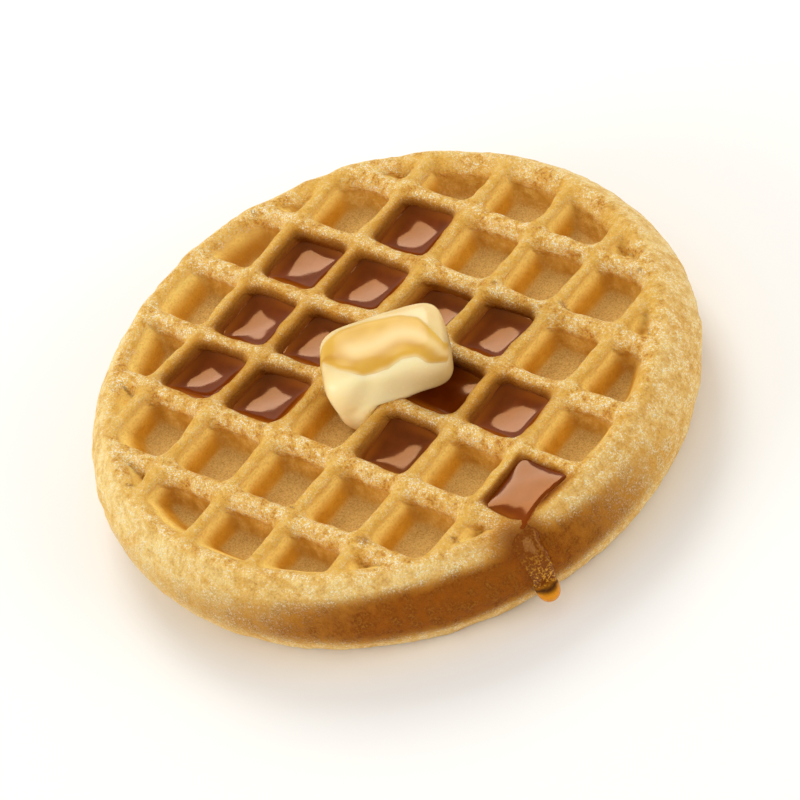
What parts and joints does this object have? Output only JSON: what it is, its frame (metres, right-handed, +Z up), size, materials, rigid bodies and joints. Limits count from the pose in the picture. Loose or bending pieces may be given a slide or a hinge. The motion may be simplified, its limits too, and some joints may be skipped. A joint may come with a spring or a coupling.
{
  "type": "round waffle with butter and syrup",
  "caption": "Round toaster waffle with a grid of square pockets on both faces, a melting pat of butter, syrup in some pockets and a drip over the rim.",
  "frame": {"origin": "middle of the underside, where the waffle rests", "axes": "+Z up out of the buttered face; X and Y along the two directions of the pocket grid, with the syrup run on the +X, -Y side"},
  "size_m": [0.102, 0.102, 0.0249],
  "materials": {
    "crust": "baked batter: matt golden crust, paler on the ridges and browner in the corners of the pockets",
    "butter": "soft butter with an oily sheen, melting at its edges",
    "syrup": "dark amber maple syrup, clear and glossy"
  },
  "bodies": {
    "root": {"waffle": "crust", "butter": "butter", "syrup_pool_1": "syrup", "syrup_pool_2": "syrup", "syrup_pool_3": "syrup", "syrup_pool_4": "syrup", "syrup_pool_5": "syrup", "syrup_pool_6": "syrup", "syrup_pool_7": "syrup", "syrup_pool_8": "syrup", "syrup_pool_9": "syrup", "syrup_pool_10": "syrup", "syrup_pool_11": "syrup", "syrup_pool_12": "syrup", "syrup_pool_13": "syrup", "syrup_run": "syrup"}
  },
  "joints": []
}
